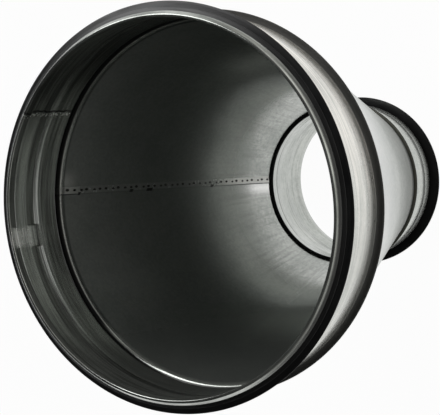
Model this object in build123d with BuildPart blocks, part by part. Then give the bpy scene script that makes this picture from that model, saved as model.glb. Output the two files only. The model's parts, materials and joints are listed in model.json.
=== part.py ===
"""Concentric duct reducer of galvanised sheet steel.

A rolled cone with a lapped, welded seam has a roll-formed spigot collar folded on at each end, and a double-lip
rubber seal is clamped in the hem round each collar's mouth. The part stands on its small mouth, centred on +Z,
with the large mouth up. Lengths are in millimetres, angles in degrees from +X towards +Y.
"""

import os
from math import atan2, degrees, tan

from build123d import *

# Ducts that slide over the spigots, and the sheet that everything is rolled from
large_duct = 315.0
small_duct = 160.0
spigot_clearance = 0.4
sheet = 0.7

# Lengths along the axis, from a mouth inwards: hem with its lead-in, seat, shoulder, land, bead, land, neck, cone
lead_in_length = 3.3
hem_straight = 1.2
seat_length = 3.0
shoulder_length = 5.5
large_land = 15.0
small_land = 4.0
bead_fall = 9.0
bead_rise = 7.0
back_land = 4.5
large_neck = 23.5
small_neck = 24.5
cone_length = 266.0

# Depths of the collar's section inwards from the spigot's outside, and the bevel of the rim's inner fold
rim_depth = 4.8
rim_bend = 1.0
lead_in_depth = 1.6
bead_depth = 0.5
large_neck_depth = 1.5
small_neck_depth = 2.0

# Lock seam: how far the cone's inside stands out from each spigot, its flange, and the collar's edge folded round it
large_cone_step = -1.7
small_cone_step = 0.8
flange_reach = 4.1
flange_bend = 3.0
cone_bend = 3.5
seam_clearance = 0.05
hook_length = 1.8

# Seal: its foot fills the hem's channel, and its lips stand out from the spigot and sweep back from the mouth
seal_clearance = 0.05
foot_setback = 0.6
front_lip_height = 3.1
front_lip_sweep = 1.6
rear_lip_height = 7.9
rear_lip_sweep = 2.6
lip_root = 1.5
lip_tip = 0.7

# Laps: the inner edge of each rolled sheet stands a sheet proud, and the lap runs out into the wall
lap_width = 12.0
lap_setback = 1.0
cone_lap_angle = 180.0
large_lap_angle = 150.7
small_lap_angle = 330.0

# Stretch of each collar's wall that its bead leaves plain
plain_stretch = 19.0
large_plain_angle = 188.4
small_plain_angle = 169.3

large_radius = large_duct / 2 - spigot_clearance
small_radius = small_duct / 2 - spigot_clearance
large_inside = large_radius + large_cone_step
small_inside = small_radius + small_cone_step
hem_length = lead_in_length + hem_straight
shoulder_end = hem_length + seat_length + shoulder_length
bead_length = bead_fall + bead_rise
small_seam = shoulder_end + small_land + bead_length + back_land + small_neck
large_seam = small_seam + cone_length
overall_height = large_seam + large_neck + back_land + bead_length + large_land + shoulder_end
cone_slope = (large_inside - small_inside) / cone_length
shoulder_turn = atan2(rim_depth - sheet, shoulder_length)


def mouth_plane(at_top, angle):
    """Section plane through the axis at an angle: x runs outwards, y from the mouth into the part."""
    outwards = Vector(1, 0, 0).rotate(Axis.Z, angle)
    across = Vector(0, 1, 0).rotate(Axis.Z, angle)
    if at_top:
        return Plane(origin=(0, 0, overall_height), x_dir=outwards, z_dir=across)
    return Plane(origin=(0, 0, 0), x_dir=outwards, z_dir=-across)


def collar_wall(radius, land, neck, neck_depth, beaded=True):
    """Bore side of a collar's wall: land, bead where there is one, land, and the neck that turns out to the flange."""
    bore = radius - sheet
    throat = bore - neck_depth
    bead_start = shoulder_end + land
    bead_end = bead_start + bead_length
    bead = [(bore, bead_start), (bore - bead_depth, bead_start + bead_fall), (bore, bead_end)] if beaded else []
    neck_start = bead_end + back_land
    flange_face = neck_start + neck - sheet / 2 - seam_clearance
    turn = [(throat, flange_face - flange_bend), (throat + flange_bend, flange_face)]
    return [(bore, shoulder_end), *bead, (bore, neck_start), *turn]


def collar_section(plane, radius, wall):
    """Sheet section of a collar: hem, tapered rim, seat, shoulder, wall, and the flange folded into a hook."""
    flange_face = wall[-1][1]
    hook_face = flange_face + sheet + 2 * seam_clearance
    fold = radius + flange_reach + seam_clearance
    with BuildSketch(plane) as section:
        with BuildLine():
            Polyline(
                (radius, hem_length),
                (radius, lead_in_length),
                (radius - lead_in_depth, 0),
                (radius - rim_depth + rim_bend, 0),
                (radius - rim_depth, rim_bend),
                (radius - rim_depth, hem_length + seat_length),
                *wall,
                (fold, flange_face),
                (fold, hook_face),
                (fold - hook_length, hook_face),
            )
            offset(amount=sheet, kind=Kind.INTERSECTION, side=Side.RIGHT)
        make_face()
    return section.sketch


def lap_section(plane, wall, thickness):
    """Layer on the bore side of a wall, sunk half a sheet into it and standing proud by a thickness."""
    with BuildSketch(plane) as section:
        with BuildLine():
            Polyline(*[(r + sheet / 2, y) for r, y in wall])
            offset(amount=sheet / 2 + thickness, kind=Kind.INTERSECTION, side=Side.LEFT)
        make_face()
    return section.sketch


def lap_sections(at_top, angle, arc, wall):
    """The two ends of a lap: a whole sheet proud at its edge, and under the wall's face where it runs out."""
    edge = lap_section(mouth_plane(at_top, angle), wall, sheet)
    run_out = lap_section(mouth_plane(at_top, angle + arc), wall, -sheet / 4)
    return [edge.face(), run_out.face()]


def seal_section(plane, radius):
    """Rubber section: a foot in the hem's channel, and two lips behind the hem that thin towards their tips."""
    foot_inside = radius - rim_depth + sheet + seal_clearance
    foot_outside = radius - sheet - seal_clearance
    foot_front = sheet + foot_setback
    lips_front = hem_length + seal_clearance
    front_tip = lips_front + front_lip_sweep
    valley = lips_front + lip_root
    rear_tip = valley + rear_lip_sweep
    heel = hem_length + seat_length - sheet * tan(shoulder_turn / 2) - seal_clearance
    with BuildSketch(plane) as section:
        with BuildLine():
            Polyline(
                (foot_inside, foot_front),
                (foot_outside - lead_in_depth, foot_front),
                (foot_outside, lead_in_length + sheet / 2),
                (foot_outside, lips_front),
                (radius, lips_front),
                (radius + front_lip_height, front_tip),
                (radius + front_lip_height, front_tip + lip_tip),
                (radius, valley),
                (radius + rear_lip_height, rear_tip),
                (radius + rear_lip_height, rear_tip + lip_tip),
                (foot_outside, heel + lip_tip),
                (foot_inside, heel),
                close=True,
            )
        make_face()
    return section.sketch


with BuildPart() as cone:
    flange_top = large_seam + sheet / 2
    flange_bottom = small_seam - sheet / 2
    with BuildSketch(Plane.XZ):
        with BuildLine():
            Polyline(
                (small_radius + flange_reach, flange_bottom),
                (small_inside - cone_slope * sheet / 2, flange_bottom),
                (large_inside - cone_slope * cone_bend, large_seam - cone_bend),
                (large_inside + cone_bend, flange_top),
                (large_radius + flange_reach, flange_top),
            )
            offset(amount=sheet, kind=Kind.INTERSECTION, side=Side.RIGHT)
        make_face()
    revolve(axis=Axis.Z)
    lap_top = cone_bend + lap_setback
    lap_wall = [
        (small_inside + cone_slope * lap_setback, small_seam + lap_setback),
        (large_inside - cone_slope * lap_top, large_seam - lap_top),
    ]
    loft(lap_sections(False, cone_lap_angle, -degrees(lap_width / large_radius), lap_wall), ruled=True)
cone.part.label = "cone"

with BuildPart() as large_collar:
    wall = collar_wall(large_radius, large_land, large_neck, large_neck_depth)
    plain_wall = collar_wall(large_radius, large_land, large_neck, large_neck_depth, beaded=False)
    plain_arc = degrees(plain_stretch / large_radius)
    plain_plane = mouth_plane(True, large_plain_angle)
    beaded_plane = mouth_plane(True, large_plain_angle + plain_arc)
    revolve(collar_section(plain_plane, large_radius, plain_wall), axis=Axis.Z, revolution_arc=plain_arc)
    revolve(collar_section(beaded_plane, large_radius, wall), axis=Axis.Z, revolution_arc=360 - plain_arc)
    loft(lap_sections(True, large_lap_angle, degrees(lap_width / large_radius), wall[:-1]), ruled=True)
large_collar.part.label = "large_collar"

with BuildPart() as small_collar:
    wall = collar_wall(small_radius, small_land, small_neck, small_neck_depth)
    plain_wall = collar_wall(small_radius, small_land, small_neck, small_neck_depth, beaded=False)
    plain_arc = degrees(plain_stretch / small_radius)
    plain_plane = mouth_plane(False, small_plain_angle)
    beaded_plane = mouth_plane(False, small_plain_angle + plain_arc)
    revolve(collar_section(plain_plane, small_radius, plain_wall), axis=Axis.Z, revolution_arc=plain_arc)
    revolve(collar_section(beaded_plane, small_radius, wall), axis=Axis.Z, revolution_arc=360 - plain_arc)
    loft(lap_sections(False, small_lap_angle, degrees(lap_width / small_radius), wall[:-1]), ruled=True)
small_collar.part.label = "small_collar"

with BuildPart() as large_gasket:
    revolve(seal_section(mouth_plane(True, 0), large_radius), axis=Axis.Z)
large_gasket.part.label = "large_gasket"

with BuildPart() as small_gasket:
    revolve(seal_section(mouth_plane(False, 0), small_radius), axis=Axis.Z)
small_gasket.part.label = "small_gasket"

os.makedirs("parts", exist_ok=True)
for piece in (cone, large_collar, small_collar, large_gasket, small_gasket):
    export_step(piece.part, f"parts/{piece.part.label}.step")
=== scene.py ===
"""Duct reducer of galvanised sheet steel: a rolled cone with a roll-formed collar folded on at each end,
and a rubber seal clamped in each collar's hem. Metres, in the frame of the solids: the axis is +Z, and
the small mouth is at Z = 0.
"""

import json
from math import atan2, cos, pi, radians

import bpy
import numpy as np
from mathutils import Matrix, Vector


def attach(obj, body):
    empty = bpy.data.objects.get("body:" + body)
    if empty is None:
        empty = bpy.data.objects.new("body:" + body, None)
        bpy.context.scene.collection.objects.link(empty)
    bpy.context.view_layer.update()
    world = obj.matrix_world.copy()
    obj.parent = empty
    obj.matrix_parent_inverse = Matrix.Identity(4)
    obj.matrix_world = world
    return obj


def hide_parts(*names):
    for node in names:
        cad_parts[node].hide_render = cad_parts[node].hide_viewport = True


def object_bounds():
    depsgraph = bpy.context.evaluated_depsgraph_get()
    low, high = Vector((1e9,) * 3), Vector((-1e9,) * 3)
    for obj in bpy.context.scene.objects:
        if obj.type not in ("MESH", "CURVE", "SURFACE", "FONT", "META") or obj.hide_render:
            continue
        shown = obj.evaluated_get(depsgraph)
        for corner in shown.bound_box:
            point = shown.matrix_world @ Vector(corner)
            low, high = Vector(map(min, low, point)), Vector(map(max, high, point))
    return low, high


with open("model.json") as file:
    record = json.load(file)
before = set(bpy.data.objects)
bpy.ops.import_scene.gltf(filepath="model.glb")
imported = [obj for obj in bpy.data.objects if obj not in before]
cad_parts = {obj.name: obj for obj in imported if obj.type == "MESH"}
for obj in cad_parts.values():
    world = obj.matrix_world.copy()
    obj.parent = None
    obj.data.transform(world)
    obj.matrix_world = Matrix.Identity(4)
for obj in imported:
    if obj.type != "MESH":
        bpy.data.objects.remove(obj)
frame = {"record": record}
cad_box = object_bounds()

# Cone: one blank of galvanised sheet, rolled until its ends lap, with both edges turned out into flanges.
# The lap's inner edge stands a sheet proud on the -X side, faces -Y and runs a little askew, and the
# blank's last stretch beside it is nearly flat, as the rolls leave it.
spigots = {mount["name"]: mount["dims"] for mount in frame["record"]["mounts"]}
large_radius = spigots["large_spigot"]["r_mm"] / 1000
small_radius = spigots["small_spigot"]["r_mm"] / 1000
overall_height = cad_box[1][2]
large_seam = overall_height - spigots["large_spigot"]["length_mm"] / 1000
small_seam = spigots["small_spigot"]["length_mm"] / 1000
sheet = 0.0007
large_cone_inside = large_radius - 0.0026
small_cone_inside = small_radius + 0.0008
flange_reach = 0.0041
large_cone_bend = 0.0076
small_cone_bend = 0.0009
cone_lap_angle = pi
cone_lap_arc = 0.012 / large_radius
lap_drift_small, lap_drift_large = 0.0019, -0.0009
flat_arc = 0.09
zinc_dark = (0.40, 0.425, 0.40)
zinc_light = (0.63, 0.645, 0.61)


def rounded_path(points, bends, steps=6, support=0.00012):
    """Polyline whose inner corners are arcs. From an arc's start, with heading h and left normal n there,
    a point is start + bend (sin a h + side (1 - cos a) n), and a runs from 0 to the corner's turn. A
    point just before and just after each arc keeps the straight stretches flat, and neighbouring arcs
    with these points have to fit on the stretch between them."""
    points = np.asarray(points, float)
    legs = np.diff(points, axis=0)
    headings = legs / np.linalg.norm(legs, axis=1, keepdims=True)
    before, after = headings[:-1], headings[1:]
    turn = np.arctan2(before[:, 0] * after[:, 1] - before[:, 1] * after[:, 0], np.sum(before * after, axis=1))
    bends = np.broadcast_to(bends, turn.shape)
    tangent = (bends * np.tan(abs(turn) / 2))[:, None]
    start = points[1:-1] - before * tangent
    end = points[1:-1] + after * tangent
    left = np.stack([-before[:, 1], before[:, 0]], axis=1)
    a = abs(turn)[:, None, None] * np.linspace(0, 1, steps)[None, :, None]
    side = np.sign(turn)[:, None, None]
    reach = np.sin(a) * before[:, None] + side * (1 - np.cos(a)) * left[:, None]
    arcs = start[:, None] + bends[:, None, None] * reach
    ahead = (start - before * support)[:, None]
    behind = (end + after * support)[:, None]
    supported = np.concatenate([ahead, arcs, behind], axis=1)
    return np.vstack([points[:1], supported.reshape(-1, 2), points[-1:]])


def sheet_outline(middle):
    """Closed outline of the sheet: the middle line moved half a sheet to its right, then, back along the
    line, half a sheet to its left. The flag is 1 on the right-hand skin and 0 on the left-hand one."""
    legs = np.diff(middle, axis=0)
    headings = legs / np.linalg.norm(legs, axis=1, keepdims=True)
    at_points = np.vstack([headings[:1], headings[:-1] + headings[1:], headings[-1:]])
    at_points /= np.linalg.norm(at_points, axis=1, keepdims=True)
    right = np.stack([at_points[:, 1], -at_points[:, 0]], axis=1) * sheet / 2
    return np.vstack([middle + right, (middle - right)[::-1]]), np.repeat([1.0, 0.0], len(middle))


def ring_angles(count, *extra):
    """Even angles round the axis, with extra ones where a detail needs them."""
    even = np.linspace(0, 2 * pi, count, endpoint=False)
    return np.unique(np.mod(np.concatenate([even, *extra]), 2 * pi))


def turned_mesh(name, radius, height, angles, outside):
    """Surface of revolution of a closed outline: point (i, j) is (radius cos angle, radius sin angle,
    height), each of them given for angle i and outline point j. Both directions of the grid close on
    themselves. The flag that is 1 on the outside goes along for the material."""
    radius, height, angles, outside = np.broadcast_arrays(radius, height, angles, outside)
    points = np.stack([radius * np.cos(angles), radius * np.sin(angles), height], axis=2).reshape(-1, 3)
    index = np.arange(radius.size).reshape(radius.shape)
    ahead = np.roll(index, -1, axis=0)
    quads = np.stack([index, ahead, np.roll(ahead, -1, axis=1), np.roll(index, -1, axis=1)], axis=2)
    quads = quads.reshape(-1, 4)
    r, z = radius[0], height[0]
    if np.sum(r * np.roll(z, -1) - z * np.roll(r, -1)) < 0:
        quads = quads[:, ::-1]
    mesh = bpy.data.meshes.new(name)
    mesh.from_pydata(points, [], quads.tolist())
    flags = mesh.attributes.new("outside", "FLOAT", "POINT")
    flags.data.foreach_set("value", outside.astype(np.float32).ravel())
    mesh.shade_smooth()
    mesh.set_sharp_from_angle(angle=radians(35))
    return mesh


def lap_step(angles, edge, direction, arc):
    """How far a lap stands proud at each angle: a whole sheet at its edge, falling evenly to nothing over
    its arc."""
    away = np.mod(direction * (angles - edge), 2 * pi)
    return sheet * np.clip(1 - away / arc, 0, 1)


def lap_pair(edge, direction):
    """The pair of angles that makes a lap's edge a step."""
    return edge + direction * np.array([-0.0002, 0.0])


class Finish:
    """A material's nodes, one call for each: keywords are inputs by name, or i0, i1 and so on by
    place."""

    def __init__(self, name):
        self.material = bpy.data.materials.new(name)
        self.material.use_nodes = True
        self.tree = self.material.node_tree
        self.shader = self.tree.nodes["Principled BSDF"]

    def add(self, kind, settings=None, **inputs):
        node = self.tree.nodes.new("ShaderNode" + kind)
        for key, value in (settings or {}).items():
            setattr(node, key, value)
        for key, value in inputs.items():
            by_place = key[0] == "i" and key[1:].isdigit()
            self.join(value, node.inputs[int(key[1:]) if by_place else key.replace("_", " ")])
        return node.outputs

    def join(self, value, socket):
        if isinstance(value, bpy.types.NodeSocket):
            self.tree.links.new(value, socket)
        else:
            socket.default_value = value

    def math(self, operation, *values):
        inputs = {"i%d" % place: value for place, value in enumerate(values)}
        return self.add("Math", {"operation": operation}, **inputs)["Value"]

    def times(self, first, *others):
        """Product of several shares."""
        for other in others:
            first = self.math("MULTIPLY", first, other)
        return first

    def most(self, first, *others):
        """Largest of several shares."""
        for other in others:
            first = self.math("MAXIMUM", first, other)
        return first

    def ranged(self, value, low, high, to_low, to_high):
        """Carries a value from one range to another, held at its ends, with a smooth step between."""
        settings = {"interpolation_type": "SMOOTHSTEP"}
        return self.add(
            "MapRange", settings, Value=value, From_Min=low, From_Max=high, To_Min=to_low, To_Max=to_high
        )["Result"]

    def band(self, value, low, high, soft):
        """Share that is 1 between two limits and fades to 0 past them."""
        rise = self.ranged(value, low - soft, low + soft, 0.0, 1.0)
        return self.times(rise, self.ranged(value, high - soft, high + soft, 1.0, 0.0))

    def beside(self, place, angle):
        """Distance along the wall from a line at an angle, towards larger angles, and a share that is 1
        on its side."""
        turned = self.add("Mapping", Vector=place, Rotation=(0, 0, -angle))["Vector"]
        parts = self.add("SeparateXYZ", Vector=turned)
        return parts["Y"], self.ranged(parts["X"], 0.0, 0.01, 0.0, 1.0), parts["Z"]

    def blend(self, share, first, second):
        """Colour between two others by a share from 0 to 1."""
        return self.add("Mix", {"data_type": "RGBA"}, i0=share, i6=first, i7=second)[2]

    def shade(self, **inputs):
        for key, value in inputs.items():
            self.join(value, self.shader.inputs[key.replace("_", " ")])


def zinc(name, grain_stretch, grain_share, rough_low, rough_high, inside_metal):
    """Galvanised sheet: metal whose grey differs from crystal to crystal and in soft clouds, with a fine
    grain that a stretch draws out into rolling marks. Brighter places are smoother, and the inside is a
    little dusty. The sockets that a piece builds on are kept as finish.place, colour, rough, metal and
    inside."""
    finish = Finish(name)
    place = finish.add("TexCoord")["Object"]
    crystals = finish.add("TexVoronoi", Vector=place, Scale=420.0)["Color"]
    crystal = finish.add("SeparateColor", Color=crystals)["Red"]
    clouds = finish.add("TexNoise", Vector=place, Scale=14.0, Detail=5.0, Roughness=0.62)["Fac"]
    drawn = finish.add("Mapping", Vector=place, Scale=grain_stretch)["Vector"]
    grain = finish.add("TexNoise", Vector=drawn, Scale=480.0, Detail=4.0, Roughness=0.65)["Fac"]
    tone = finish.math("MULTIPLY_ADD", crystal, 0.12, finish.math("MULTIPLY", clouds, 0.6))
    tone = finish.math("MULTIPLY_ADD", grain, grain_share, tone)
    share = finish.ranged(tone, 0.16 + 0.3 * grain_share, 0.56 + 0.7 * grain_share, 0.0, 1.0)
    outside = finish.add("Attribute", {"attribute_name": "outside"})["Fac"]
    rough = finish.ranged(share, 0.0, 1.0, rough_high, rough_low)
    rough = finish.math("MULTIPLY_ADD", outside, 0.13, rough)
    bump = finish.add("Bump", Height=grain, Strength=0.05, Distance=0.0004)["Normal"]
    colour = finish.blend(share, (*zinc_dark, 1), (*zinc_light, 1))
    metal = finish.ranged(outside, 0.0, 1.0, inside_metal, 1.0)
    finish.shade(Base_Color=colour, Roughness=rough, Normal=bump, Metallic=metal)
    finish.place, finish.colour, finish.rough, finish.metal = place, colour, rough, metal
    finish.inside = finish.math("SUBTRACT", 1.0, outside)
    return finish


def put(mesh, material, node=None):
    """Places a finished mesh on the part, in place of its CAD node where it has one."""
    mesh.materials.append(material)
    piece = bpy.data.objects.new(mesh.name, mesh)
    bpy.context.scene.collection.objects.link(piece)
    if node:
        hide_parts(node)
    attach(piece, "root")


cone_slope = (large_cone_inside - small_cone_inside) / (large_seam - small_seam)
half_wall = sheet / 2 / cos(atan2(cone_slope, 1))
cone_corners = [
    (small_radius + flange_reach, small_seam),
    (small_cone_inside + half_wall, small_seam),
    (large_cone_inside + half_wall, large_seam),
    (large_radius + flange_reach, large_seam),
]
cone_ends = rounded_path(cone_corners, [small_cone_bend, large_cone_bend], 9)
steepest = np.diff(cone_ends[:, 1]).argmax()
along = np.linspace(0, 1, 34)[1:-1, None]
cone_middle = np.vstack([
    cone_ends[:steepest + 1],
    cone_ends[steepest] * (1 - along) + cone_ends[steepest + 1] * along,
    cone_ends[steepest + 1:],
])
cone_outline, cone_outside = sheet_outline(cone_middle)
cone_heights = cone_outline[:, 1]
wall_low, wall_high = cone_ends[steepest, 1], cone_ends[steepest + 1, 1]
on_wall = np.clip(np.minimum(cone_heights - wall_low, wall_high - cone_heights) / 0.004, 0, 1)
cone_angles = ring_angles(
    260, lap_pair(cone_lap_angle, -1), cone_lap_angle + np.linspace(0.004, 1.3 * flat_arc, 16)
)[:, None]
past_edge = np.mod(cone_angles - cone_lap_angle, 2 * pi)
flat_rise = 1 / np.cos(np.clip(flat_arc - past_edge, 0, None)) - 1
cone_radius = (
    cone_outline[:, 0] * (1 + flat_rise * on_wall)
    - lap_step(cone_angles, cone_lap_angle, -1, cone_lap_arc) * (on_wall > 0) * (cone_outside == 0)
)
lap_skew = (lap_drift_large - lap_drift_small) / (large_seam - small_seam)
near_lap = np.exp(-((np.mod(cone_angles - cone_lap_angle + pi, 2 * pi) - pi) / 0.2) ** 2)
drift = lap_drift_small + lap_skew * (cone_heights - small_seam)
cone_turn = cone_angles + near_lap * drift / cone_outline[:, 0]
steel = zinc("zinc_of_the_cone", (1, 1, 1), 0.2, 0.19, 0.27, 0.78)
inside = steel.inside
outer = steel.math("SUBTRACT", 1.0, inside)
arc, near_side, up = steel.beside(steel.place, cone_lap_angle)
near_side = steel.times(near_side, inside)
over_small = steel.math("SUBTRACT", up, small_seam)
arc = steel.math("SUBTRACT", arc, steel.math("MULTIPLY_ADD", over_small, lap_skew, lap_drift_small))
over_large = steel.math("SUBTRACT", up, large_seam)
sides = steel.add("SeparateXYZ", Vector=steel.place)
across = sides["Y"]
upper = steel.ranged(across, -0.126, -0.108, 0.0, 1.0)
# Painted darker and duller on the wide part of the inside, and less metallic more towards +Y: painted light
# that lifts the wall that faces away from the lamp
dull = steel.times(
    steel.ranged(over_small, 0.038, 0.108, 0.0, 1.0), inside,
    steel.ranged(over_large, -0.0065, -0.0045, 1.0, 0.0),
)
dust_and_painted_light = steel.times(dull, steel.ranged(across, -0.135, -0.05, 0.03, 0.42))
colour = steel.blend(steel.times(dull, 0.5), steel.colour, (0.10, 0.116, 0.112, 1))
# Scratches along the cone's narrow part
turn = steel.math("ARCTAN2", across, sides["X"])
drawn = steel.add("CombineXYZ", X=steel.times(turn, 26.0), Y=steel.times(up, 14.0))["Vector"]
scratches = steel.add("TexNoise", Vector=drawn, Scale=1.0, Detail=5.0, Roughness=0.7)["Fac"]
scratched = steel.times(
    steel.ranged(scratches, 0.42, 0.68, 0.0, 0.36), steel.ranged(over_small, 0.038, 0.128, 1.0, 0.0), inside
)
colour = steel.blend(scratched, colour, (0.26, 0.265, 0.25, 1))
# Marks of the lap: a pale strip under the weld row, a dark edge and blots; beside it, a painted highlight as
# a bright flare at the narrow end, and a painted sheen by the large bend
patchy = steel.add("TexNoise", Vector=steel.place, Scale=70.0, Detail=4.0, Roughness=0.7)["Fac"]
bright_ends = steel.most(
    steel.ranged(over_large, -0.028, -0.012, 0.15, 1.0), steel.ranged(over_small, 0.038, 0.088, 1.0, 0.15)
)
strip = steel.times(
    steel.band(arc, -0.0066, -0.0003, 0.0004), near_side,
    steel.ranged(patchy, 0.3, 0.55, 0.5, 1.0), bright_ends,
)
# Painted highlight: a bright flare beside the lap at the narrow end, also made smoother
painted_flare = steel.times(
    steel.band(arc, -0.001, 0.010, 0.006), near_side, steel.ranged(over_small, 0.013, 0.058, 1.0, 0.0)
)
# Painted highlight: a soft sheen beside the lap near the large bend
painted_sheen = steel.times(
    steel.band(arc, -0.018, -0.004, 0.008), near_side, steel.ranged(over_large, -0.024, -0.006, 0.0, 0.6)
)
edge_line = steel.times(steel.band(arc, -0.0002, 0.0007, 0.0002), near_side, bright_ends)
for blot_height, half_length in ((0.081, 0.0018), (0.161, 0.0036), (0.183, 0.002), (0.243, 0.0014)):
    blot = steel.band(over_small, blot_height - half_length, blot_height + half_length, 0.001)
    edge_line = steel.most(edge_line, steel.times(blot, steel.band(arc, -0.0016, 0.0012, 0.0004), near_side))
colour = steel.blend(painted_flare, colour, (0.88, 0.88, 0.86, 1))
colour = steel.blend(steel.most(strip, painted_sheen), colour, (0.80, 0.80, 0.76, 1))
colour = steel.blend(edge_line, colour, (0.04, 0.04, 0.04, 1))
# Painted shade in the large bend, left off at the -Y bottom where the lamp's highlight shows, and near-black
# painted shade in the groove behind it
bend_shade = steel.times(steel.ranged(over_large, -0.0075, -0.0055, 0.0, 0.68), inside, upper)
groove_shade = steel.most(
    steel.times(steel.ranged(over_large, -0.0027, -0.0019, 0.0, 0.95), inside, upper),
    steel.times(steel.ranged(over_large, -0.0017, -0.0010, 0.0, 0.95), inside),
)
colour = steel.blend(bend_shade, colour, (0.06, 0.062, 0.06, 1))
colour = steel.blend(groove_shade, colour, (0.01, 0.01, 0.01, 1))
# Outside: a painted highlight at the wide end, and painted shade that deepens towards the small seam, where
# the steel would mirror the floor's shadow
wide_end_light = steel.times(steel.ranged(over_small, 0.098, 0.208, 0.0, 0.55), outer)
shade_to_small_seam = steel.most(
    steel.ranged(over_small, 0.018, 0.158, 0.5, 0.0), steel.ranged(over_small, 0.008, 0.028, 0.92, 0.0)
)
shade_to_small_seam = steel.times(shade_to_small_seam, outer)
colour = steel.blend(wide_end_light, colour, (0.86, 0.87, 0.86, 1))
colour = steel.blend(shade_to_small_seam, colour, (0.10, 0.105, 0.10, 1))
# Less metal where the inside gets painted light and where the outside has painted shade, which is rougher too
metal = steel.math("SUBTRACT", steel.math("SUBTRACT", steel.metal, dust_and_painted_light), shade_to_small_seam)
rough = steel.math("MULTIPLY_ADD", strip, 0.2, steel.rough)
rough = steel.math("MULTIPLY_ADD", painted_flare, -0.1, rough)
rough = steel.math("MULTIPLY_ADD", shade_to_small_seam, 0.4, rough)
polished = steel.times(steel.ranged(over_large, -0.0075, -0.0055, 0.0, 0.13), inside)
polished = steel.math("SUBTRACT", polished, steel.times(upper, 0.13))
rough = steel.math("SUBTRACT", rough, steel.most(polished, 0.0))
steel.shade(Base_Color=colour, Roughness=rough, Metallic=metal)
cone_mesh = turned_mesh("cone_sheet", cone_radius, cone_heights, cone_turn, cone_outside)
put(cone_mesh, steel.material, "cone")

# Weld spots: the lap is closed by resistance welds in a row beside its inner edge. Each electrode leaves
# a small round mark, burnt dark and a little raised.
spot_pitch = 0.0072
spot_offset = 0.0036
spot_radius = 0.0012
spot_stretch = 1.6
spot_height = 0.00012


def spot_row(name, count):
    """Row of low domes on the cone's inside. A dome's point at ring share s and turn t is its centre
    moved spot_stretch s spot_radius cos t along the wall and s spot_radius sin t across it, and
    spot_height (1 - s^2) towards the axis. The row follows the lap's edge, which runs askew."""
    s = np.linspace(1, 0.12, 5)[None, :, None]
    t = np.linspace(0, 2 * pi, 14, endpoint=False)[None, None, :]
    wander = np.sin(np.arange(count) * 2.4)[:, None, None]
    size = spot_radius * (1 + 0.12 * wander)
    height = small_seam + 0.004 + (np.arange(count)[:, None, None] + 0.12 * wander) * spot_pitch
    height = height + spot_stretch * s * size * np.cos(t) * cos(atan2(cone_slope, 1))
    inside = small_cone_inside + cone_slope * (height - small_seam)
    across = spot_offset + 0.0003 * wander + s * size * np.sin(t)
    lap = sheet * np.clip(1 - across / inside / cone_lap_arc, 0, 1)
    radius = inside - lap - spot_height * (1 - s * s) + 0.00002
    angle = cone_lap_angle + (lap_drift_small + lap_skew * (height - small_seam) - across) / inside
    points = np.stack([radius * np.cos(angle), radius * np.sin(angle), height], axis=3).reshape(-1, 3)
    index = np.arange(count * 5 * 14).reshape(count, 5, 14)
    ahead = np.roll(index, -1, axis=2)
    rings = np.stack([index[:, 1:], ahead[:, 1:], ahead[:, :-1], index[:, :-1]], axis=3).reshape(-1, 4)
    mesh = bpy.data.meshes.new(name)
    mesh.from_pydata(points, [], rings.tolist() + index[:, -1, ::-1].tolist() + index[:, 0].tolist())
    mesh.shade_smooth()
    return mesh


burnt = Finish("burnt_zinc")
scorch = burnt.add("TexNoise", Vector=burnt.add("TexCoord")["Object"], Scale=900.0, Detail=3.0)["Fac"]
scorched = burnt.ranged(scorch, 0.3, 0.7, 0.0, 1.0)
burnt.shade(
    Base_Color=burnt.blend(scorched, (0.02, 0.02, 0.02, 1), (0.08, 0.078, 0.075, 1)),
    Roughness=burnt.ranged(scorch, 0.3, 0.7, 0.6, 0.42),
    Metallic=1.0,
)
put(spot_row("weld_spots", 36), burnt.material)

# Large collar: a strip rolled into a ring, lapped and welded, with a hem at its mouth, a shallow bead, a
# neck, and its back edge turned out and folded round the cone's flange. A short stretch of the wall is
# left plain.
lead_in_length, lead_in_depth = 0.00365, 0.0027
hem_length = 0.0045
pinch_start = 0.0026
rim_end = 0.003
rim_depth = 0.0050
bead_depth = 0.0005
bead_fall = 0.009
bead_rise = 0.007
back_land = 0.0045
fold_gap = 0.00005
hook_length = 0.0018
plain_stretch = 0.019
plain_fade = 0.0016
collar_lap_arc = 0.045


def collar_middle(radius, length, seat_end, shoulder_end, bead_start, neck_depth, neck_bend):
    """Middle line of a collar's sheet from its hem's edge to its hook's, as distance from the axis and
    from the mouth. The seat, and the land with the bead, get evenly spread points."""
    wall = radius - sheet / 2
    seat = radius - rim_depth + sheet / 2
    front = sheet / 2
    neck_start = bead_start + bead_fall + bead_rise + back_land
    fold = radius + flange_reach + fold_gap + sheet / 2
    flange = length - sheet - fold_gap
    hook = length + sheet + fold_gap
    rim = rounded_path(
        [(wall, hem_length), (wall, lead_in_length), (wall - lead_in_depth, front), (seat, front),
         (seat, rim_end)],
        [0.0015, 0.0014, 0.0006],
    )
    seat_points = np.stack([np.full(12, seat), np.linspace(rim_end + 0.0002, seat_end - 0.001, 12)], axis=1)
    shoulder = rounded_path(
        [(seat, seat_end - 0.0008), (seat, seat_end), (wall, shoulder_end), (wall, shoulder_end + 0.0008)],
        [0.0012, 0.0014],
    )
    wall_depths = np.linspace(shoulder_end + 0.001, neck_start - 0.0012, 46)
    wall_points = np.stack([np.full(46, wall), wall_depths], axis=1)
    back = rounded_path(
        [(wall, neck_start - 0.001), (wall, neck_start), (wall - neck_depth, flange), (fold, flange),
         (fold, hook), (fold - sheet / 2 - hook_length, hook)],
        [0.004, neck_bend, 0.00062, 0.00062],
    )
    return np.vstack([rim, seat_points, shoulder, wall_points, back])


def softened(depth_in, corners, heights, window=0.0005):
    """Straight runs between corners, averaged over a short window so that the corners are rolled, not
    cut."""
    at = depth_in[..., None] + np.linspace(-window, window, 9)
    return np.interp(at, corners, heights).mean(axis=-1)


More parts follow.
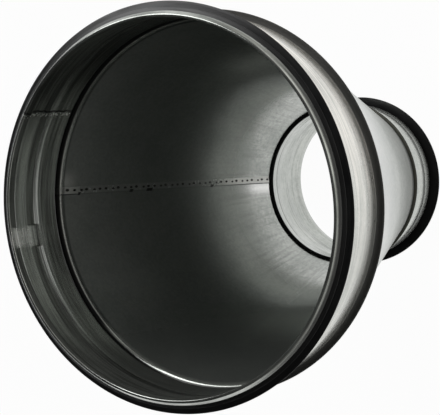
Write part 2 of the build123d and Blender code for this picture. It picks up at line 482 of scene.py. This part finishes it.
def rolled(angles, radius, plain_start):
    """How much of the rolled-in shape there is at each angle: none along the plain stretch, with short
    fades."""
    past_start = (np.mod(angles - plain_start + pi, 2 * pi) - pi) * radius
    inside = np.minimum(past_start, plain_stretch - past_start)
    fade = np.clip(0.5 + inside / plain_fade, 0, 1)
    return 1 - fade * fade * (3 - 2 * fade)


def collar_mesh(
    name, radius, along_axis, neck_depth, neck_bend, pinch_depth, lap_edge, plain_start, mouth, inwards
):
    """Collar as a surface of revolution, with pinch, bead and lap taken off its radius angle by angle.
    The lap's edge wanders by a few tenths of a millimetre, as hand-fed sheet does."""
    length, seat_end, shoulder_end, bead_start = along_axis
    outline, outside = sheet_outline(collar_middle(radius, *along_axis, neck_depth, neck_bend))
    margin = 1.2 * plain_fade / radius
    ends = plain_start, plain_start + plain_stretch / radius
    near_ends = [np.linspace(end - margin, end + margin, 11) for end in ends]
    angles = ring_angles(220, lap_pair(lap_edge, 1), *near_ends)[:, None]
    depth_in = outline[:, 1]
    bead_low = bead_start + bead_fall
    bead = bead_depth * softened(depth_in, [bead_start, bead_low, bead_low + bead_rise], [0, 1, 0])
    pinch = pinch_depth * softened(depth_in, [pinch_start, seat_end, shoulder_end], [0, 1, 0], 0.0003)
    pinch = pinch * (outline[:, 0] < radius - rim_depth + 2 * sheet + (depth_in > seat_end))
    inside_wall = (outside == 0) & (depth_in > shoulder_end) & (depth_in < length - neck_bend - 2 * sheet)
    shape = rolled(angles, radius, plain_start) * (bead + pinch)
    shape = shape + lap_step(angles, lap_edge, 1, collar_lap_arc / radius) * inside_wall
    wander = 0.0005 * np.sin(depth_in * 420) + 0.0003 * np.sin(depth_in * 1100 + 1)
    near_lap = np.exp(-((np.mod(angles - lap_edge + pi, 2 * pi) - pi) * radius / 0.02) ** 2)
    return turned_mesh(
        name, outline[:, 0] - shape, mouth + inwards * depth_in, angles + near_lap * wander / radius, outside
    )


large_seat_end, large_shoulder_end, large_bead_start = 0.0075, 0.013, 0.028
large_neck_depth, large_neck_bend = 0.0009, 0.0035
large_pinch = 0.0004
large_lap = radians(150.7)
large_plain = radians(188.4)
steel = zinc("zinc_of_the_large_collar", (0.03, 0.03, 1.2), 0.8, 0.12, 0.22, 0.86)
inside = steel.inside
outer = steel.math("SUBTRACT", 1.0, inside)
arc, near_side, up = steel.beside(steel.place, large_lap)
near_side = steel.times(near_side, inside)
over_seam = steel.math("SUBTRACT", up, large_seam)
sides = steel.add("SeparateXYZ", Vector=steel.place)
across = sides["Y"]
drawn = steel.add("Mapping", Vector=steel.place, Scale=(14, 14, 320))["Vector"]
streaks = steel.add("TexNoise", Vector=drawn, Scale=1.0, Detail=3.0, Roughness=0.6)["Fac"]
# Inside: painted shade beside the lap, on the neck (more towards +Y) and along the bead's rise, broken up by
# streaks, and oil streaks of their own
lap_shade = steel.times(
    steel.ranged(arc, -0.13, -0.02, 0.0, 0.85), near_side,
    steel.ranged(arc, -0.0005, 0.0005, 1.0, 0.5), steel.ranged(arc, 0.005, 0.05, 1.0, 0.0),
)
neck_shade = steel.times(
    steel.ranged(over_seam, 0.026, 0.0295, 0.9, 0.0), steel.ranged(across, -0.15, -0.06, 0.5, 1.0)
)
oil_and_shade = steel.most(neck_shade, lap_shade, steel.band(over_seam, 0.029, 0.036, 0.001))
oil_and_shade = steel.times(oil_and_shade, steel.ranged(streaks, 0.35, 0.65, 0.5, 1.0))
oil_and_shade = steel.times(steel.most(oil_and_shade, steel.ranged(streaks, 0.42, 0.66, 0.0, 0.55)), inside)
# Weld along the lap: a dark line that wanders, with spatter beside it
wobble = steel.add("TexNoise", Vector=steel.place, Scale=130.0, Detail=3.0)["Fac"]
arc = steel.math("MULTIPLY_ADD", steel.math("SUBTRACT", wobble, 0.5), 0.0045, arc)
weld_line = steel.times(steel.band(arc, -0.0009, 0.0005, 0.0003), near_side)
spatter = steel.add("TexNoise", Vector=steel.place, Scale=520.0, Detail=2.0)["Fac"]
spatter = steel.ranged(spatter, 0.5, 0.62, 0.0, 0.9)
weld_marks = steel.times(steel.band(arc, 0.0016, 0.0042, 0.0010), near_side, spatter)
# Painted highlight, speckled, on the plain stretch
arc, near_side, up = steel.beside(steel.place, large_plain + plain_stretch / 2 / large_radius)
plain_highlight = steel.times(
    steel.band(arc, -0.0075, 0.0075, 0.0035), near_side, steel.ranged(over_seam, 0.038, 0.048, 0.1, 1.0),
    steel.ranged(wobble, 0.3, 0.7, 0.6, 1.0), steel.ranged(streaks, 0.4, 0.6, 1.0, 0.3), inside,
)
# Outside: a pale warm cast in streaks, painted brighter towards +Y as a painted reflection of the bright
# tent; inside, painted shade in the groove by the seam; outside, painted shade on the seam's fold and on the
# lead-in's +X side beside the seal
cream_and_sheen = steel.times(
    steel.ranged(across, -0.04, 0.1, 0.25, 0.8), outer, steel.ranged(streaks, 0.35, 0.65, 1.5, 0.45)
)
# Painted shade, near black, in the groove inside by the seam
groove_shade = steel.times(steel.ranged(over_seam, 0.0030, 0.0062, 0.95, 0.0), inside)
# Painted shade on the fold outside
fold = steel.times(steel.ranged(over_seam, 0.0026, 0.0042, 0.95, 0.0), outer)
flat_place = steel.add("VectorMath", {"operation": "MULTIPLY"}, i0=steel.place, i1=(1, 1, 0))["Vector"]
from_axis = steel.add("VectorMath", {"operation": "LENGTH"}, i0=flat_place)["Value"]
on_lead_in = steel.times(
    steel.ranged(from_axis, large_radius - 0.0040, large_radius - 0.0032, 0.0, 1.0),
    steel.ranged(over_seam, 0.0655, 0.0665, 0.0, 1.0),
)
# Painted shade on the lead-in's +X side beside the seal
seal_shade = steel.times(
    steel.ranged(sides["X"], 0.07, 0.15, 0.0, 0.88),
    steel.ranged(over_seam, 0.0696, 0.0710, 1.0, 0.0), on_lead_in,
)
dull = steel.most(fold, seal_shade)
colour = steel.blend(cream_and_sheen, steel.colour, (0.93, 0.90, 0.84, 1))
colour = steel.blend(oil_and_shade, colour, (0.06, 0.062, 0.057, 1))
colour = steel.blend(plain_highlight, colour, (0.90, 0.90, 0.86, 1))
colour = steel.blend(weld_marks, colour, (0.85, 0.85, 0.82, 1))
colour = steel.blend(weld_line, colour, (0.03, 0.03, 0.03, 1))
colour = steel.blend(steel.most(groove_shade, dull), colour, (0.02, 0.02, 0.02, 1))
rough = steel.math("MULTIPLY_ADD", steel.most(plain_highlight, weld_marks), 0.3, steel.rough)
rough = steel.math("MULTIPLY_ADD", dull, 0.5, rough)
# Less metal on two bands of the outside near the seam, and under the painted shade on the fold and lead-in
dust_and_painted_light = steel.most(
    steel.times(steel.band(over_seam, 0.0045, 0.0085, 0.001), outer, 0.3),
    steel.times(steel.band(over_seam, 0.0105, 0.021, 0.002), outer, 0.45),
    dull,
)
steel.shade(Base_Color=colour, Roughness=rough, Metallic=steel.math("SUBTRACT", steel.metal, dust_and_painted_light))
put(
    collar_mesh(
        "large_collar_sheet", large_radius,
        (overall_height - large_seam, large_seat_end, large_shoulder_end, large_bead_start),
        large_neck_depth, large_neck_bend, large_pinch, large_lap, large_plain, overall_height, -1,
    ),
    steel.material, "large_collar",
)

# Small collar: the same strip and rolls on the small spigot, with hardly any land before its bead. The
# part stands on its rim.
small_seat_end, small_shoulder_end, small_bead_start = 0.0050, 0.0160, 0.0175
small_neck_depth, small_neck_bend = 0.002, 0.0013
small_lap = radians(330)
small_plain = radians(169.3)
steel = zinc("zinc_of_the_small_collar", (0.03, 0.03, 1.2), 0.6, 0.12, 0.22, 0.9)
inside = steel.inside
outer = steel.math("SUBTRACT", 1.0, inside)
arc, near_side, up = steel.beside(steel.place, small_plain + plain_stretch / 2 / small_radius)
# Dark lines on the inside: along the bead, except on the plain stretch, and on the neck, with dark streaks
plain = steel.times(steel.band(arc, -plain_stretch / 2, plain_stretch / 2, 0.0015), near_side)
drawn = steel.add("Mapping", Vector=steel.place, Scale=(22, 22, 420))["Vector"]
streaks = steel.add("TexNoise", Vector=drawn, Scale=1.0, Detail=3.0, Roughness=0.6)["Fac"]
dark_lines = steel.times(steel.band(up, 0.0247, 0.0256, 0.0004), steel.math("SUBTRACT", 1.0, plain))
dark_lines = steel.most(dark_lines, steel.band(up, 0.0495, 0.0515, 0.0008))
dark_lines = steel.times(dark_lines, steel.ranged(streaks, 0.35, 0.6, 0.2, 0.75))
dark_lines = steel.times(steel.most(dark_lines, steel.ranged(streaks, 0.5, 0.75, 0.0, 0.3)), inside)
# Painted shade on the outside of the seam's fold, less dark on its hook's face, and on the shoulder in the
# seal's shade; the inside of the fold is painted near black
dark_inside_fold = steel.times(steel.ranged(up, 0.0595, 0.0606, 0.0, 0.92), inside)
# Painted shade on the outside of the fold, which is also rougher and less metallic
fold = steel.times(steel.ranged(up, 0.0595, 0.0606, 0.0, 0.95), outer)
hook_face = steel.times(steel.ranged(up, 0.0628, 0.0630, 0.0, 0.8), outer)
# Painted shade on the shoulder behind the seal
seal_shade = steel.times(steel.ranged(up, 0.0155, 0.0175, 0.9, 0.0), outer)
colour = steel.blend(dark_lines, steel.colour, (0.12, 0.12, 0.115, 1))
colour = steel.blend(fold, colour, (0.02, 0.02, 0.017, 1))
colour = steel.blend(hook_face, colour, (0.17, 0.17, 0.14, 1))
colour = steel.blend(seal_shade, colour, (0.03, 0.031, 0.034, 1))
steel.shade(
    Base_Color=steel.blend(dark_inside_fold, colour, (0.015, 0.015, 0.015, 1)),
    Metallic=steel.math("SUBTRACT", steel.metal, fold),
    Roughness=steel.math("MULTIPLY_ADD", fold, 0.5, steel.rough),
)
put(
    collar_mesh(
        "small_collar_sheet", small_radius,
        (small_seam, small_seat_end, small_shoulder_end, small_bead_start),
        small_neck_depth, small_neck_bend, 0.0, small_lap, small_plain, 0.0, 1,
    ),
    steel.material, "small_collar",
)

# Seals: extruded black rubber, each with its foot clamped in a hem's channel, and a short and a long lip
# swept back from the mouth. The lips are drawn relaxed.
seal_clearance = 0.00005
foot_front = 0.0013
heel = 0.0072
front_lip_height, front_lip_sweep = 0.0031, 0.0016
rear_lip_height, rear_lip_sweep = 0.0079, 0.0026
lip_root = 0.0015
lip_tip = 0.0007
rubber_dark = (0.004, 0.004, 0.0045, 1)
rubber_dusty = (0.012, 0.012, 0.0125, 1)


def seal_mesh(name, radius, mouth, inwards):
    """Seal as a surface of revolution of its outline, with small rounds at the outline's corners."""
    inner = radius - rim_depth + sheet + seal_clearance
    outer = radius - sheet - seal_clearance
    front = hem_length + seal_clearance
    valley = front + lip_root
    rear_tip = valley + rear_lip_sweep
    corners = [
        (inner, 0.004),
        (inner, foot_front),
        (outer - lead_in_depth, foot_front),
        (outer, lead_in_length + sheet / 2),
        (outer, front),
        (radius, front),
        (radius + front_lip_height, front + front_lip_sweep),
        (radius + front_lip_height, front + front_lip_sweep + lip_tip),
        (radius, valley),
        (radius + rear_lip_height, rear_tip),
        (radius + rear_lip_height, rear_tip + lip_tip),
        (outer, heel + lip_tip),
        (inner, heel),
        (inner, 0.0042),
    ]
    rounds = [0.0004, 0.0004, 0.0004, 0.0002, 0.0002, 0.0003, 0.0003, 0.0002, 0.0003, 0.0003, 0.0004, 0.0003]
    outline = rounded_path(corners, rounds)
    return turned_mesh(name, outline[:, 0], mouth + inwards * outline[:, 1], ring_angles(360)[:, None], 1.0)


rubber = Finish("seal_rubber")
place = rubber.add("TexCoord")["Object"]
drawn = rubber.add("Mapping", Vector=place, Scale=(0.03, 0.03, 1.5))["Vector"]
streaks = rubber.add("TexNoise", Vector=drawn, Scale=900.0, Detail=2.0)["Fac"]
dust = rubber.add("TexNoise", Vector=place, Scale=45.0, Detail=5.0, Roughness=0.7)["Fac"]
rubber.shade(
    Base_Color=rubber.blend(rubber.ranged(dust, 0.35, 0.75, 0.0, 1.0), rubber_dark, rubber_dusty),
    Roughness=rubber.ranged(streaks, 0.3, 0.7, 0.30, 0.46), Specular_IOR_Level=0.62,
    Normal=rubber.add("Bump", Height=streaks, Strength=0.12, Distance=0.0003)["Normal"],
)
put(seal_mesh("large_seal", large_radius, overall_height, -1), rubber.material, "large_gasket")
put(seal_mesh("small_seal", small_radius, 0.0, 1), rubber.material, "small_gasket")

# Stage: a white floor under the small mouth, which the camera and the steel see as plain white.
floor_half = 6.0
shadow_share = 0.03
floor_mesh = bpy.data.meshes.new("floor")
floor_mesh.from_pydata(
    floor_half * np.array([(-1, -1, 0), (1, -1, 0), (1, 1, 0), (-1, 1, 0)]), [], [(0, 1, 2, 3)],
)
floor = bpy.data.objects.new("floor", floor_mesh)
bpy.context.scene.collection.objects.link(floor)
white = Finish("floor_white")
ray = white.add("LightPath")
seen = white.most(ray["Is Camera Ray"], ray["Is Glossy Ray"], ray["Is Transmission Ray"])
glow = white.add("Emission", Color=(1, 1, 1, 1), Strength=1.0)["Emission"]
white.shade(Base_Color=(0.85, 0.85, 0.85, 1), Roughness=1.0)
plain_white = white.times(seen, 1 - shadow_share)
lit = white.add("MixShader", i0=plain_white, i1=white.shader.outputs[0], i2=glow)
white.join(lit["Shader"], white.tree.nodes["Material Output"].inputs["Surface"])
floor_mesh.materials.append(white.material)

# Light: a white horizon towards +X that darkens upwards and behind, as in a light tent with one open
# side, and a soft lamp high beyond +Y.
tent_white = (1.0, 0.985, 0.95, 1)
tent_grey = (0.15, 0.15, 0.145, 1)
tent_dim = (0.09, 0.09, 0.088, 1)
tent_dark = (0.035, 0.037, 0.036, 1)
world = bpy.data.worlds.new("tent")
bpy.context.scene.world = world
world.use_nodes = True
sky = world.node_tree
direction = sky.nodes.new("ShaderNodeTexCoord").outputs["Generated"]
towards_white = sky.nodes.new("ShaderNodeVectorMath")
towards_white.operation = "DOT_PRODUCT"
towards_white.inputs[1].default_value = (0.8, 0.3, -0.9)
sky.links.new(direction, towards_white.inputs[0])
spread = sky.nodes.new("ShaderNodeMapRange")
spread.inputs["From Min"].default_value = -1.25
spread.inputs["From Max"].default_value = 1.25
sky.links.new(towards_white.outputs["Value"], spread.inputs["Value"])
ramp = sky.nodes.new("ShaderNodeValToRGB")
stops = ramp.color_ramp.elements
stops[0].position, stops[0].color = 0.15, tent_dark
stops[1].position, stops[1].color = 0.66, tent_white
stops.new(0.40).color = tent_dim
stops.new(0.52).color = tent_grey
sky.links.new(spread.outputs["Result"], ramp.inputs[0])
sky.links.new(ramp.outputs["Color"], sky.nodes["Background"].inputs["Color"])

lamp = bpy.data.lights.new("soft_lamp", "AREA")
lamp.shape = "RECTANGLE"
lamp.size, lamp.size_y = 1.2, 1.1
lamp.energy = 13
lamp_object = bpy.data.objects.new("soft_lamp", lamp)
lamp_place = Vector((-0.8, 1.15, 1.17))
lamp_aim = (lamp_place - Vector((0, 0, 0.4))).to_track_quat("Z", "Y")
lamp_object.matrix_world = Matrix.LocRotScale(lamp_place, lamp_aim, None)
bpy.context.scene.collection.objects.link(lamp_object)

# Camera: above the large mouth and to its +X side, with the picture's upright along +Y.
camera = bpy.data.cameras.new("camera")
camera.sensor_fit = "HORIZONTAL"
camera.sensor_width = 36
camera.lens = 104.0
camera.clip_start = 0.05
camera_object = bpy.data.objects.new("camera", camera)
picture_right = np.array([0.8641, 0.0, -0.5035])
picture_up = np.array([-0.0462, 0.9958, -0.0792])
camera_axes = np.stack([picture_right, picture_up, np.cross(picture_right, picture_up)], axis=1)
camera_place = Matrix.Translation((0.5462, 0.0946, 1.2411))
camera_object.matrix_world = camera_place @ Matrix(camera_axes.tolist()).to_4x4()
bpy.context.scene.collection.objects.link(camera_object)
bpy.context.scene.camera = camera_object
bpy.context.scene.view_settings.view_transform = "Standard"
